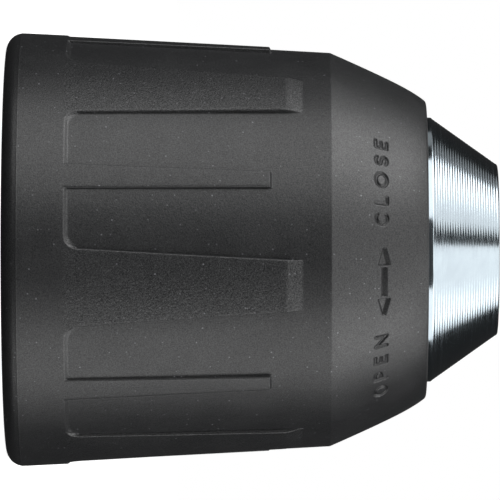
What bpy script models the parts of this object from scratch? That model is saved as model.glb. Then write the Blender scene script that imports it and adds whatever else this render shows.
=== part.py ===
"""Keyless drill chuck, 10 mm capacity, with a one-piece grip sleeve.

Lengths in the constants are millimetres and angles are degrees; solid() turns them into metres.
The chuck's axis is +Z: the spindle socket opens at the bottom and the nose points up.
Turning the sleeve clockwise, seen from the nose, drives the three jaws forward and shut.
"""
import math

import bmesh
import bpy
from mathutils import Matrix, Vector

MM = 0.001

# Overall size
NOSE_TIP_Z = 48.0
SLEEVE_FRONT_Z = 41.1

# Jaws: round rods on lines that meet the chuck's axis at the apex
APEX_Z = 49.0
INCLINE = math.radians(19.0)
SIN_I = math.sin(INCLINE)
COS_I = math.cos(INCLINE)
JAW_R = 3.1
JAW_LENGTH = 31.5
JAW_TRAVEL = 14.4
JAW_ANGLES = (90.0, 210.0, 330.0)
JAW_LAND_GAP = 0.35
JAW_LAND_FLAT = 0.25
JAW_WEDGE_FLANK = math.tan(math.radians(30.0))
JAW_BLANK_FRONT = 3.0
JAW_BORE_R = 3.25
JAW_BORE_ENDS = (-42.0, 2.0)
JAW_SIDES = 28
JAW_BACK_CHAMFER = 0.8

# Thread between the split nut and the jaws
PITCH = 1.6
THREAD_CREST_V = 2.4
THREAD_ROOT_V = 3.25
THREAD_CREST_WIDTH = 0.5
THREAD_FLANK = math.tan(math.radians(15.0))
THREAD_CLEARANCE = 0.19
RACK_FLOOR_V = 2.05
RACK_START = 10.0
RACK_MEAN_R = 11.4
THREAD_STEPS = 44
THREAD_TURNS = 6
THREAD_LEAD_IN = PITCH * 3.5
THREAD_OVERCUT = 0.4
RACK_OVERCUT = 0.3

# Split nut and the steel collar that holds it together and drives it
NUT_BACK_Z = 19.75
NUT_FRONT_Z = 26.2
NUT_OUTER_R = 14.8
NUT_SPLIT_GAP = 0.3
COLLAR_INNER_R = 14.95
COLLAR_OUTER_R = 16.45
COLLAR_FRONT_Z = 25.9
LUG_OUTER_R = 17.5
LUG_BACK_Z = 20.9
LUG_HALF_ANGLES = (2.9, 3.2)
COLLAR_STEP_ANGLE = 9.0

# One-piece steel body
TAIL_Z = 0.6
TAIL_R = 9.3
SOCKET_R = 4.42
SOCKET_FLOOR_Z = 13.6
SCREW_HOLE_R = 2.6
SHANK_BORE_R = 5.1
SHANK_BORE_FLOOR_Z = 16.4
FLANGE_R = 17.3
FLANGE_BACK_Z = 12.0
FLANGE_FRONT_Z = 15.6
CORE_R = 9.9
NOSE_R = 12.97
NOSE_BACK_Z = 26.6
NOSE_CONE_Z = 41.68
NOSE_CONE_R = 12.87
NOSE_FACE_R = 8.3
NOSE_EDGE = (8.66, 47.62)
NOSE_BORE_CHAMFER = 0.45
SOCKET_CHAMFER = 0.6
TAIL_CHAMFER = 0.35
RING_GROOVE_R = 8.75
RING_GROOVE_Z = (1.25, 1.85)
CHAMFER = 0.3
LAND_EDGE = 0.1

# Thrust bearing
RACE_INNER_R = 15.05
RACE_OUTER_R = 17.2
RACE_REAR_Z = (15.75, 16.55)
RACE_FRONT_Z = (18.75, 19.6)
BALL_COUNT = 18
BALL_R = 1.0
BALL_SEGMENTS = (10, 6)
BALL_CIRCLE_R = 16.15
BALL_Z = 17.65
CAGE_Z = (17.35, 17.95)
CAGE_INNER_R = 14.6
CAGE_OUTER_R = 17.6
CAGE_POCKET = 1.12

# Rear cover and its snap ring
COVER_Z = (1.95, 3.2)
COVER_RIM_Z = 4.0
COVER_RIM_WIDTH = 0.8
COVER_INNER_R = 9.45
COVER_OUTER_R = 17.6
SNAP_RING_Z = (1.35, 1.75)
SNAP_RING_R = (8.9, 10.6)
SNAP_RING_GAP = 14.0
SNAP_RING_STEPS = 40
SNAP_RING_LUG = (0.6, 3.0)

# Sleeve inside
SLEEVE_BORE_R = 17.95
SLEEVE_STEP_R = 16.8
SLEEVE_LIP_R = 13.1
SLEEVE_STEPS = ((38.9, 13.1), (37.6, 14.3), (34.0, 16.1), (31.0, 16.8))
SLOT_Z = (20.8, 26.2)
SLOT_RUN_OUT = 0.2
BORE_CHAMFER = 0.4

# Sleeve outside: a tapered rim, ribs and bars around recessed pads, and a rounded front
SLEEVE_MAX_R = 21.25
FIRST_RIB_ANGLE = -79.8
RIB_COUNT = 6
SECTOR = 360 / RIB_COUNT
REAR_FILLET_R = 1.65
REAR_FILLET_STEPS = (90.0, 60.0, 30.0, 0.0)
RAISED_AT = (2.2, 21.23)
RAISED_TAPER = 0.0506
FLOOR_AT = (6.4, 20.73)
FLOOR_TAPER = 0.0559
RIB_HALF_ANGLES = (10.55, 7.1)
RIB_TAPER_Z = (6.7, 28.9)
BAR_HALF_ANGLES = (3.4, 2.35)
RELIEF_BACK_Z = 5.95
RELIEF_FOOT_Z = 6.3
BAR_FRONT_Z = 25.5
BAR_FOOT_Z = 26.03
RIB_FRONT_Z = 27.33
RIB_FOOT_Z = 28.94
WALL_WIDTH = 0.5
PAD_MIDDLE_Z = 15.5
SHOULDER_Z = 31.7
FRONT_LENGTH = 9.5
FRONT_END_Z = 40.9
FRONT_START_R = 19.44
FRONT_SLOPE = 4.12
FRONT_CROWN = 0.3
FRONT_TURN_IN = 0.34
FRONT_STEPS_Z = (33.3, 35.2, 37.0, 38.7, 40.1, 40.95)
FRONT_FACE_R = 14.35

ROUND_SIDES = 60


def remove_everything():
    for thing in list(bpy.data.objects):
        bpy.data.objects.remove(thing, do_unlink=True)


def material(name, colour, roughness, metallic):
    made = bpy.data.materials.new(name)
    made.use_nodes = True
    shader = made.node_tree.nodes["Principled BSDF"]
    shader.inputs["Base Color"].default_value = (*colour, 1.0)
    shader.inputs["Roughness"].default_value = roughness
    shader.inputs["Metallic"].default_value = metallic
    made.diffuse_color = (*colour, 1.0)
    return made


def solid(name, bm, finish, matrix=None, sharp=30.0):
    """An object from a bmesh drawn in millimetres, placed by a matrix in millimetres."""
    bmesh.ops.recalc_face_normals(bm, faces=bm.faces)
    bmesh.ops.scale(bm, vec=(MM, MM, MM), verts=bm.verts)
    mesh = bpy.data.meshes.new(name)
    bm.to_mesh(mesh)
    bm.free()
    mesh.shade_smooth()
    mesh.set_sharp_from_angle(angle=math.radians(sharp))
    if finish is not None:
        mesh.materials.append(finish)
    made = bpy.data.objects.new(name, mesh)
    bpy.context.scene.collection.objects.link(made)
    if matrix is not None:
        placed = matrix.copy()
        placed.translation = matrix.translation * MM
        made.matrix_world = placed
    return made


def cutter(name, bm, matrix=None):
    made = solid(name, bm, None, matrix)
    made.hide_render = True
    made.display_type = "WIRE"
    return made


def cut(target, tool):
    modifier = target.modifiers.new("cut_" + tool.name, "BOOLEAN")
    modifier.operation = "DIFFERENCE"
    modifier.solver = "EXACT"
    modifier.object = tool


def polar(radius, degrees, z):
    turn = math.radians(degrees)
    return Vector((radius * math.cos(turn), radius * math.sin(turn), z))


def skin(bm, loops, closed=True):
    """Quads between neighbouring loops of points. Each loop is closed; closed joins the last to the first."""
    rows = [[bm.verts.new(point) for point in loop] for loop in loops]
    pairs = list(zip(rows, rows[1:]))
    if closed:
        pairs.append((rows[-1], rows[0]))
    for here, there in pairs:
        for i in range(len(here)):
            j = (i + 1) % len(here)
            bm.faces.new((here[i], here[j], there[j], there[i]))
    return rows


def ring_of(profile, sides=ROUND_SIDES):
    """A turned ring: a closed (radius, z) outline that stays off the axis."""
    bm = bmesh.new()
    skin(bm, [[polar(r, 360 * i / sides, z) for r, z in profile] for i in range(sides)])
    return bm


def rod_of(profile, sides):
    """A turned bar about local Z from (radius, z) steps, with flat ends."""
    bm = bmesh.new()
    loops = [[polar(r, 360 * i / sides, z) for i in range(sides)] for r, z in profile]
    rows = skin(bm, loops, closed=False)
    bm.faces.new(rows[0])
    bm.faces.new(rows[-1])
    return bm


def prism(bm, outline, matrix, half_width, shear=0.0):
    """A bar across local Y whose (z, x) outline shifts along z by shear for each unit of y."""
    loops = []
    for y in (-half_width, half_width):
        loops.append([matrix @ Vector((x, y, z + shear * y)) for z, x in outline])
    rows = skin(bm, loops, closed=False)
    bm.faces.new(rows[0])
    bm.faces.new(rows[-1])


# ---------------------------------------------------------------- body


def body_profile():
    mouth = [(SOCKET_R + SOCKET_CHAMFER, TAIL_Z), (SOCKET_R, TAIL_Z + SOCKET_CHAMFER)]
    socket = mouth + [(SOCKET_R, SOCKET_FLOOR_Z)]
    web = [(SCREW_HOLE_R, SOCKET_FLOOR_Z), (SCREW_HOLE_R, SHANK_BORE_FLOOR_Z)]
    bore = [(SHANK_BORE_R, SHANK_BORE_FLOOR_Z), (SHANK_BORE_R, NOSE_TIP_Z - NOSE_BORE_CHAMFER)]
    face = [(SHANK_BORE_R + NOSE_BORE_CHAMFER, NOSE_TIP_Z), (NOSE_FACE_R, NOSE_TIP_Z), NOSE_EDGE]
    cone = [(NOSE_CONE_R, NOSE_CONE_Z), (NOSE_R, NOSE_CONE_Z - LAND_EDGE)]
    nose = [(NOSE_R, NOSE_BACK_Z + CHAMFER), (NOSE_R - CHAMFER, NOSE_BACK_Z)]
    core = [(CORE_R, NOSE_BACK_Z), (CORE_R, FLANGE_FRONT_Z)]
    flange = [
        (FLANGE_R - CHAMFER, FLANGE_FRONT_Z),
        (FLANGE_R, FLANGE_FRONT_Z - CHAMFER),
        (FLANGE_R, FLANGE_BACK_Z + CHAMFER),
        (FLANGE_R - CHAMFER, FLANGE_BACK_Z),
    ]
    low, high = RING_GROOVE_Z
    tail = [(TAIL_R, FLANGE_BACK_Z), (TAIL_R, high), (RING_GROOVE_R, high)]
    end = [(RING_GROOVE_R, low), (TAIL_R, low)]
    end += [(TAIL_R, TAIL_Z + TAIL_CHAMFER), (TAIL_R - TAIL_CHAMFER, TAIL_Z)]
    return socket + web + bore + face + cone + nose + core + flange + tail + end


def jaw_frame(degrees, along):
    """Local Z runs forward along a jaw's line, local X points outward, origin `along` behind the apex."""
    tilt = Matrix.Rotation(-INCLINE, 4, "Y")
    place = Matrix.Translation((along * SIN_I, 0.0, APEX_Z - along * COS_I))
    return Matrix.Rotation(math.radians(degrees), 4, "Z") @ place @ tilt


def make_body(steel):
    body = solid("chuck_body", ring_of(body_profile()), steel)
    for number, degrees in enumerate(JAW_ANGLES, 1):
        bore = rod_of([(JAW_BORE_R, z) for z in JAW_BORE_ENDS], JAW_SIDES)
        cut(body, cutter(f"jaw_bore_{number}", bore, jaw_frame(degrees, 0.0)))
    return body


# ---------------------------------------------------------------- jaws


def ridge_width(v):
    """Width of the nut's thread ridge at a height v above the jaws' centre lines."""
    return THREAD_CREST_WIDTH + 2 * THREAD_FLANK * (v - THREAD_CREST_V)


def rack_cutter(number, degrees):
    """Grooves across a jaw's outer side, placed to mesh with the nut's helix at this jaw's angle."""
    bm = bmesh.new()
    top = JAW_R + RACK_OVERCUT
    low = ridge_width(RACK_FLOOR_V) / 2 + THREAD_CLEARANCE
    high = ridge_width(top) / 2 + THREAD_CLEARANCE
    shear = PITCH / (2 * math.pi * RACK_MEAN_R)
    first = helix_along(degrees) - JAW_TRAVEL
    first += PITCH * math.ceil((RACK_START - first) / PITCH)
    back = first
    while back < JAW_LENGTH + PITCH / 2:
        outline = [
            (-back - low, RACK_FLOOR_V),
            (-back + low, RACK_FLOOR_V),
            (-back + high, top),
            (-back - high, top),
        ]
        prism(bm, outline, Matrix.Identity(4), JAW_R + RACK_OVERCUT, shear)
        back += PITCH
    return cutter(f"rack_{number}", bm, jaw_frame(degrees, JAW_TRAVEL))


def land_cutter(number, degrees):
    """Takes a rod down to the 120 degree wedge that grips the shank, parallel to the chuck's axis."""
    bm = bmesh.new()
    land = JAW_LAND_GAP + JAW_TRAVEL * SIN_I
    wide = JAW_R + 1.0
    edge = JAW_LAND_FLAT / JAW_WEDGE_FLANK
    outline = [
        (-4 * JAW_R, -wide),
        (land + JAW_WEDGE_FLANK * wide, -wide),
        (land + JAW_LAND_FLAT, -edge),
        (land + JAW_LAND_FLAT, edge),
        (land + JAW_WEDGE_FLANK * wide, wide),
        (-4 * JAW_R, wide),
    ]
    rows = skin(bm, [[Vector((x, y, z)) for x, y in outline] for z in (0.0, APEX_Z)], closed=False)
    bm.faces.new(rows[0])
    bm.faces.new(rows[-1])
    return cutter(f"land_{number}", bm, Matrix.Rotation(math.radians(degrees), 4, "Z"))


def face_cutter(number, degrees):
    """Squares a jaw's front end to the chuck's axis."""
    bm = bmesh.new()
    front = APEX_Z - JAW_TRAVEL * COS_I
    size = 6 * JAW_R
    place = Matrix.Translation((JAW_TRAVEL * SIN_I, 0.0, front + size / 2))
    bmesh.ops.create_cube(bm, size=size, matrix=place)
    return cutter(f"face_{number}", bm, Matrix.Rotation(math.radians(degrees), 4, "Z"))


def make_jaws(steel):
    for number, degrees in enumerate(JAW_ANGLES, 1):
        steps = [
            (JAW_R - JAW_BACK_CHAMFER, -JAW_LENGTH),
            (JAW_R, JAW_BACK_CHAMFER - JAW_LENGTH),
            (JAW_R, JAW_BLANK_FRONT),
        ]
        jaw = solid(f"jaw_{number}", rod_of(steps, JAW_SIDES), steel, jaw_frame(degrees, JAW_TRAVEL))
        cut(jaw, rack_cutter(number, degrees))
        cut(jaw, land_cutter(number, degrees))
        cut(jaw, face_cutter(number, degrees))


# ---------------------------------------------------------------- nut and collar


def helix_along(degrees):
    """Distance behind the apex of a thread ridge at this angle; it shortens as the angle grows."""
    return NUT_FRONT_Z - PITCH * degrees / 360.0


def cone_point(along, v, degrees):
    """A point `along` behind the apex and v outside the cone of the jaws' centre lines."""
    return polar(along * SIN_I + v * COS_I, degrees, APEX_Z - along * COS_I + v * SIN_I)


def thread_cutter():
    """The helical groove between the nut's thread ridges."""
    bm = bmesh.new()
    inner_v = THREAD_CREST_V - THREAD_OVERCUT
    wide = (PITCH - ridge_width(inner_v)) / 2
    narrow = (PITCH - ridge_width(THREAD_ROOT_V)) / 2
    loops = []
    for step in range(THREAD_TURNS * THREAD_STEPS + 1):
        degrees = 360.0 * (step / THREAD_STEPS - 1.0)
        middle = helix_along(degrees) + THREAD_LEAD_IN
        section = ((-wide, inner_v), (wide, inner_v), (narrow, THREAD_ROOT_V), (-narrow, THREAD_ROOT_V))
        loops.append([cone_point(middle + d, v, degrees) for d, v in section])
    rows = skin(bm, loops, closed=False)
    bm.faces.new(rows[0])
    bm.faces.new(rows[-1])
    return cutter("nut_thread", bm)


def crest_radius(z):
    return (APEX_Z - z) * SIN_I / COS_I + THREAD_CREST_V / COS_I


def make_nut(steel):
    thread = thread_cutter()
    profile = [
        (crest_radius(NUT_BACK_Z), NUT_BACK_Z),
        (crest_radius(NUT_FRONT_Z), NUT_FRONT_Z),
        (NUT_OUTER_R - CHAMFER, NUT_FRONT_Z),
        (NUT_OUTER_R, NUT_FRONT_Z - CHAMFER),
        (NUT_OUTER_R, NUT_BACK_Z),
    ]
    size = 3 * NUT_OUTER_R
    for name, side in (("nut_half_a", 1), ("nut_half_b", -1)):
        bm = bmesh.new()
        centre = Matrix.Translation((0.0, side * (NUT_SPLIT_GAP / 2 - size / 2), NUT_BACK_Z))
        bmesh.ops.create_cube(bm, size=size, matrix=centre)
        half = solid(name, ring_of(profile, THREAD_STEPS), steel)
        cut(half, thread)
        cut(half, cutter(name + "_split", bm))


def make_collar(steel):
    """A ring with six lugs on its outside that the sleeve's slots drive."""
    bm = bmesh.new()
    loops = []
    top, foot = LUG_HALF_ANGLES
    steps = [(-foot, COLLAR_OUTER_R), (-top, LUG_OUTER_R), (top, LUG_OUTER_R), (foot, COLLAR_OUTER_R)]
    offset = foot + COLLAR_STEP_ANGLE
    while offset < SECTOR - foot - COLLAR_STEP_ANGLE / 2:
        steps.append((offset, COLLAR_OUTER_R))
        offset += COLLAR_STEP_ANGLE
    for sector in range(RIB_COUNT):
        for offset, outer in steps:
            degrees = FIRST_RIB_ANGLE + SECTOR * sector + offset
            loops.append([
                polar(COLLAR_INNER_R, degrees, NUT_BACK_Z),
                polar(COLLAR_OUTER_R, degrees, NUT_BACK_Z),
                polar(COLLAR_OUTER_R, degrees, LUG_BACK_Z),
                polar(outer, degrees, LUG_BACK_Z),
                polar(outer, degrees, COLLAR_FRONT_Z),
                polar(COLLAR_INNER_R, degrees, COLLAR_FRONT_Z),
            ])
    skin(bm, loops)
    bmesh.ops.remove_doubles(bm, verts=bm.verts, dist=1e-5)
    return solid("nut_collar", bm, steel)


# ---------------------------------------------------------------- thrust bearing


def make_races(steel):
    for name, (low, high) in (("race_rear", RACE_REAR_Z), ("race_front", RACE_FRONT_Z)):
        profile = [(RACE_INNER_R, low), (RACE_OUTER_R, low), (RACE_OUTER_R, high), (RACE_INNER_R, high)]
        solid(name, ring_of(profile), steel)


def make_cage(plastic):
    """A flat ring with a square pocket for each ball."""
    bm = bmesh.new()
    low, high = CAGE_Z
    inner = BALL_CIRCLE_R - CAGE_POCKET
    outer = BALL_CIRCLE_R + CAGE_POCKET
    half_pocket = math.degrees(CAGE_POCKET / BALL_CIRCLE_R)
    radii = (CAGE_INNER_R, inner, outer, CAGE_OUTER_R)
    grid = []
    for ball in range(BALL_COUNT):
        for side in (-half_pocket, half_pocket):
            degrees = 360.0 * ball / BALL_COUNT + side
            column = [[bm.verts.new(polar(r, degrees, z)) for r in radii] for z in (low, high)]
            grid.append(column)
    for i, here in enumerate(grid):
        there = grid[(i + 1) % len(grid)]
        pocket = i % 2 == 0
        for level in (0, 1):
            for k in range(3):
                if k == 1 and pocket:
                    continue
                bm.faces.new((here[level][k], here[level][k + 1], there[level][k + 1], there[level][k]))
        walls = (0, 1, 2, 3) if pocket else (0, 3)
        for k in walls:
            bm.faces.new((here[0][k], there[0][k], there[1][k], here[1][k]))
        bm.faces.new((here[0][1], here[1][1], here[1][2], here[0][2]))
    return solid("ball_cage", bm, plastic)


def make_balls(steel):
    bm = bmesh.new()
    around, along = BALL_SEGMENTS
    bmesh.ops.create_uvsphere(bm, u_segments=around, v_segments=along, radius=BALL_R)
    first = None
    for number in range(1, BALL_COUNT + 1):
        place = Matrix.Translation(polar(BALL_CIRCLE_R, 360.0 * (number - 1) / BALL_COUNT, BALL_Z))
        if first is None:
            first = solid(f"ball_{number:02d}", bm, steel, place, sharp=80.0)
            continue
        ball = bpy.data.objects.new(f"ball_{number:02d}", first.data)
        ball.location = place.translation * MM
        bpy.context.scene.collection.objects.link(ball)


# ---------------------------------------------------------------- rear cover


def make_cover(steel, spring):
    low, high = COVER_Z
    profile = [
        (COVER_INNER_R, low), (COVER_OUTER_R - CHAMFER, low), (COVER_OUTER_R, low + CHAMFER),
        (COVER_OUTER_R, COVER_RIM_Z), (COVER_OUTER_R - COVER_RIM_WIDTH, COVER_RIM_Z),
        (COVER_OUTER_R - COVER_RIM_WIDTH, high), (COVER_INNER_R, high),
    ]
    solid("rear_cover", ring_of(profile), steel)
    inner, outer = SNAP_RING_R
    low, high = SNAP_RING_Z
    bm = bmesh.new()
    loops = []
    lug_height, lug_steps = SNAP_RING_LUG
    for step in range(SNAP_RING_STEPS + 1):
        degrees = SNAP_RING_GAP / 2 + (360.0 - SNAP_RING_GAP) * step / SNAP_RING_STEPS
        lug = lug_height * max(0.0, 1.0 - min(step, SNAP_RING_STEPS - step) / lug_steps)
        loops.append([
            polar(inner, degrees, low), polar(outer + lug, degrees, low),
            polar(outer + lug, degrees, high), polar(inner, degrees, high),
        ])
    rows = skin(bm, loops, closed=False)
    bm.faces.new(rows[0])
    bm.faces.new(rows[-1])
    solid("snap_ring", bm, spring)


# ---------------------------------------------------------------- sleeve


def tapered(at, taper, z):
    start_z, radius = at
    return radius - taper * (z - start_z)


def raised_radius(z):
    return tapered(RAISED_AT, RAISED_TAPER, z)


def floor_radius(z):
    return tapered(FLOOR_AT, FLOOR_TAPER, z)


def narrowing(half_angles, heights, z):
    """A half angle that falls steadily between two heights and is constant beyond them."""
    wide, narrow = half_angles
    low, high = heights
    return wide + (narrow - wide) * min(max((z - low) / (high - low), 0.0), 1.0)


def rib_half(z):
    return narrowing(RIB_HALF_ANGLES, RIB_TAPER_Z, z)


def bar_half(z):
    return narrowing(BAR_HALF_ANGLES, (RELIEF_BACK_Z, BAR_FRONT_Z), z)


def front_radius(z):
    """The rounded front, whose slope steepens from 24 to 38 degrees towards the nose."""
    t = 1 - (FRONT_END_Z - z) / FRONT_LENGTH
    return FRONT_START_R - FRONT_SLOPE * t - FRONT_CROWN * t ** 2 - FRONT_TURN_IN * t ** 8


def outer_rows():
    """(z, radius on ribs, radius on bars, radius between them) down the sleeve's outside."""
    rows = []
    centre = SLEEVE_MAX_R - REAR_FILLET_R
    for degrees in REAR_FILLET_STEPS:
        turn = math.radians(degrees)
        z = REAR_FILLET_R * (1 - math.sin(turn))
        rows.append((z,) + (centre + REAR_FILLET_R * math.cos(turn),) * 3)
    rows.append((RELIEF_BACK_Z,) + (raised_radius(RELIEF_BACK_Z),) * 3)
    for z in (RELIEF_FOOT_Z, PAD_MIDDLE_Z, BAR_FRONT_Z):
        rows.append((z, raised_radius(z), raised_radius(z), floor_radius(z)))
    for z in (BAR_FOOT_Z, RIB_FRONT_Z):
        rows.append((z, raised_radius(z), floor_radius(z), floor_radius(z)))
    rows.append((RIB_FOOT_Z,) + (floor_radius(RIB_FOOT_Z),) * 3)
    for z in (SHOULDER_Z,) + FRONT_STEPS_Z:
        rows.append((z,) + (front_radius(z),) * 3)
    return rows


def inner_rows():
    """(z, radius, radius in the drive slots) up the sleeve's inside, from the front lip to the back."""
    back, front = SLOT_Z
    mouth = SLEEVE_BORE_R + BORE_CHAMFER
    rows = [(SLEEVE_FRONT_Z, SLEEVE_LIP_R, SLEEVE_LIP_R)]
    rows += [(z, r, r) for z, r in SLEEVE_STEPS]
    rows += [
        (front + SLOT_RUN_OUT, SLEEVE_STEP_R, SLEEVE_STEP_R),
        (front, SLEEVE_STEP_R, SLEEVE_BORE_R),
        (back, SLEEVE_STEP_R, SLEEVE_BORE_R),
        (back - SLOT_RUN_OUT, SLEEVE_BORE_R, SLEEVE_BORE_R),
        (BORE_CHAMFER, SLEEVE_BORE_R, SLEEVE_BORE_R),
        (0.0, mouth, mouth),
    ]
    return rows


def sleeve_columns():
    """(angle from the rib at height z, kind) across one sector, from rib to rib."""
    def rib(share):
        return lambda z: share * rib_half(z)

    def rib_foot(side):
        return lambda z: side * (rib_half(z) + WALL_WIDTH)

    def bar(side, extra):
        return lambda z: SECTOR / 2 + side * (bar_half(z) + extra)

    def between(share):
        start, end = rib_foot(1), bar(-1, WALL_WIDTH)
        return lambda z: start(z) + share * (end(z) - start(z))

    def beyond(share):
        return lambda z: SECTOR - between(share)(z)

    return [
        (rib_foot(-1), "floor"), (rib(-1.0), "rib"), (rib(-1 / 3), "slot"),
        (rib(1 / 3), "slot"), (rib(1.0), "rib"), (rib_foot(1), "floor"),
        (between(1 / 3), "floor"), (between(2 / 3), "floor"),
        (bar(-1, WALL_WIDTH), "floor"), (bar(-1, 0.0), "bar"),
        (bar(1, 0.0), "bar"), (bar(1, WALL_WIDTH), "floor"),
        (beyond(2 / 3), "floor"), (beyond(1 / 3), "floor"),
    ]


def make_sleeve(plastic):
    bm = bmesh.new()
    outside, inside = outer_rows(), inner_rows()
    pick = {"rib": 1, "slot": 1, "bar": 2, "floor": 3}
    loops = []
    for sector in range(RIB_COUNT):
        for angle, kind in sleeve_columns():
            start = FIRST_RIB_ANGLE + SECTOR * sector
            loop = [polar(row[pick[kind]], start + angle(row[0]), row[0]) for row in outside]
            loop.append(polar(FRONT_FACE_R, start + angle(SLEEVE_FRONT_Z), SLEEVE_FRONT_Z))
            for z, plain, slot in inside:
                loop.append(polar(slot if kind == "slot" else plain, start + angle(z), z))
            loops.append(loop)
    skin(bm, loops)
    return solid("grip_sleeve", bm, plastic)


def main():
    remove_everything()
    bright_steel = material("bright_turned_steel", (0.62, 0.63, 0.65), 0.22, 1.0)
    hard_steel = material("hardened_jaw_steel", (0.32, 0.32, 0.33), 0.35, 1.0)
    nut_steel = material("nut_steel", (0.38, 0.37, 0.36), 0.4, 1.0)
    bearing_steel = material("bearing_steel", (0.7, 0.7, 0.72), 0.12, 1.0)
    zinc_steel = material("zinc_plated_steel", (0.55, 0.56, 0.58), 0.35, 1.0)
    spring_steel = material("blued_spring_steel", (0.05, 0.05, 0.06), 0.4, 1.0)
    black_plastic = material("black_moulded_nylon", (0.035, 0.036, 0.038), 0.5, 0.0)
    cage_plastic = material("cage_nylon", (0.55, 0.52, 0.42), 0.5, 0.0)
    make_body(bright_steel)
    make_jaws(hard_steel)
    make_nut(nut_steel)
    make_collar(zinc_steel)
    make_races(bearing_steel)
    make_cage(cage_plastic)
    make_balls(bearing_steel)
    make_cover(zinc_steel, spring_steel)
    make_sleeve(black_plastic)


main()
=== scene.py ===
"""Looks of the drill chuck: fine pieces, materials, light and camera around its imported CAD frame.

Lengths in the constants are millimetres and angles are degrees, up to the part on camera and light,
which is in metres; shape() turns meshes into metres. The chuck's axis is +Z with its nose at the top.
The camera looks along +Y and is rolled, so that in its picture the nose points right and -X is up.
"""
import math

import bmesh
import bpy
from mathutils import Matrix, Vector


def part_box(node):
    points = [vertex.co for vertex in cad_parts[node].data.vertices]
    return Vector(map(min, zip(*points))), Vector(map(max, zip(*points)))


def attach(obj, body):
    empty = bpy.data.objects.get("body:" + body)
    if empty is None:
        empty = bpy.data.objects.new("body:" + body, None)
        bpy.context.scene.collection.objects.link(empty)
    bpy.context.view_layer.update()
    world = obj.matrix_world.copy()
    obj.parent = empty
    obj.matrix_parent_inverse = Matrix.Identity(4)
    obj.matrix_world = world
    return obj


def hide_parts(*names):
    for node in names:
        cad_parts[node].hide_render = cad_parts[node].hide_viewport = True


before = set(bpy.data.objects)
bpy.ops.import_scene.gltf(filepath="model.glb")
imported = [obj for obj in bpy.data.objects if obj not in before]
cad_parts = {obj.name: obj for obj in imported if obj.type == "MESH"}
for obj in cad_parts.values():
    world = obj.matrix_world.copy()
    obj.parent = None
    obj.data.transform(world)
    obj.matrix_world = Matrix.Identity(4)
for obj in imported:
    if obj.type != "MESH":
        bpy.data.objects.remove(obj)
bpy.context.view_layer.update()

MM = 0.001
SLEEVE_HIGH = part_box("grip_sleeve")[1] / MM
BODY_LOW, BODY_HIGH = (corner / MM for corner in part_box("chuck_body"))
COVER_LOW, COVER_HIGH = (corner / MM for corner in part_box("rear_cover"))

# Sleeve outside: a rounded back rim, then ribs and bars around recessed pads
SLEEVE_MAX_R = SLEEVE_HIGH.y
FIRST_RIB_ANGLE = -79.8
RIB_COUNT = 6
SECTOR = 360 / RIB_COUNT
REAR_FILLET_R = 1.65
RIM_TURNS = (90, 78, 66, 54, 43, 33, 24, 16)
RIM_ROWS = (REAR_FILLET_R, 2.2, 3.0, 4.0, 4.8, 5.4)
PARTING_Z = 1.5
PARTING_HEIGHT = 0.02
PARTING_HALF_WIDTH = 0.07

# Tops of ribs and bars, and floor of the pads: a (z, radius) at the back and the loss of radius per mm
RAISED_AT = (2.2, 21.23)
RAISED_TAPER = 0.0506
FLOOR_AT = (6.4, 20.73)
FLOOR_TAPER = 0.0559

# Half widths at the back and front of a rib and a bar, and their front ends
RIB_HALF_ANGLES = (10.55, 7.1)
RIB_TAPER_Z = (6.7, 28.9)
RIB_RAMP_Z = (27.33, 28.94)
BAR_HALF_ANGLES = (3.4, 2.35)
BAR_RAMP_Z = (25.7, 25.98)

# Pads. EDGE_DROP is the share of a side's depth that its rounded edge takes up.
PAD_BACK_Z = 5.95
PAD_R = 20.9
PAD_CORNER_R = 1.45
SIDE_WALL = 0.05
SIDE_TURNS = (0, 20, 38, 54, 68, 80, 90)
SIDE_STEP = 0.09
EDGE_ROUND = 0.13
EDGE_DROP = 0.32
BACK_WALL = 0.5

# Rounded front. Its slope, crown and turn-in are what its radius loses over its length.
SHOULDER_Z = 31.7
SHOULDER_ROWS = (
    29.25, 30.2, 31.2, 31.5, 31.62, SHOULDER_Z, 31.78, 31.9, 32.2, 32.8, 33.6, 34.5, 35.2, 35.5,
)
FRONT_LENGTH = 9.5
FRONT_END_Z = 40.9
FRONT_END_ROWS = (37.8, 38.1, 38.4, 39.0, 39.6, 40.1, 40.4, 40.65, 40.8, FRONT_END_Z, 40.96)
FRONT_START_R = 19.44
FRONT_SLOPE = 4.12
FRONT_CROWN = 0.3
FRONT_TURN_IN = 0.34
LIP_Z = SLEEVE_HIGH.z
LIP_R = 13.1
LIP_PROFILE = (
    (14.52, LIP_Z - 0.06), (14.42, LIP_Z - 0.02), (14.32, LIP_Z), (13.3, LIP_Z), (13.18, LIP_Z - 0.03),
    (13.12, LIP_Z - 0.1), (LIP_R, LIP_Z - 0.2), (LIP_R, LIP_Z - 0.6),
)

# Sleeve inside, from front to back, with the slots that take the nut collar's lugs
SLEEVE_BORE_R = 17.95
SLEEVE_STEP_R = 16.8
INSIDE_PROFILE = (
    (LIP_R, 38.9), (14.3, 37.6), (16.1, 34.0), (SLEEVE_STEP_R, 31.0), (SLEEVE_STEP_R, 26.3),
    (SLEEVE_STEP_R, 26.2), (SLEEVE_STEP_R, 20.9), (SLEEVE_STEP_R, 20.7), (SLEEVE_BORE_R, 20.6),
    (SLEEVE_BORE_R, 0.4), (SLEEVE_BORE_R + 0.4, 0.0),
)
SLOT_Z = (20.8, 26.25)
SLOT_HALF_ANGLE = 3.6
SLOT_WALL_ANGLE = 0.1

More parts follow.
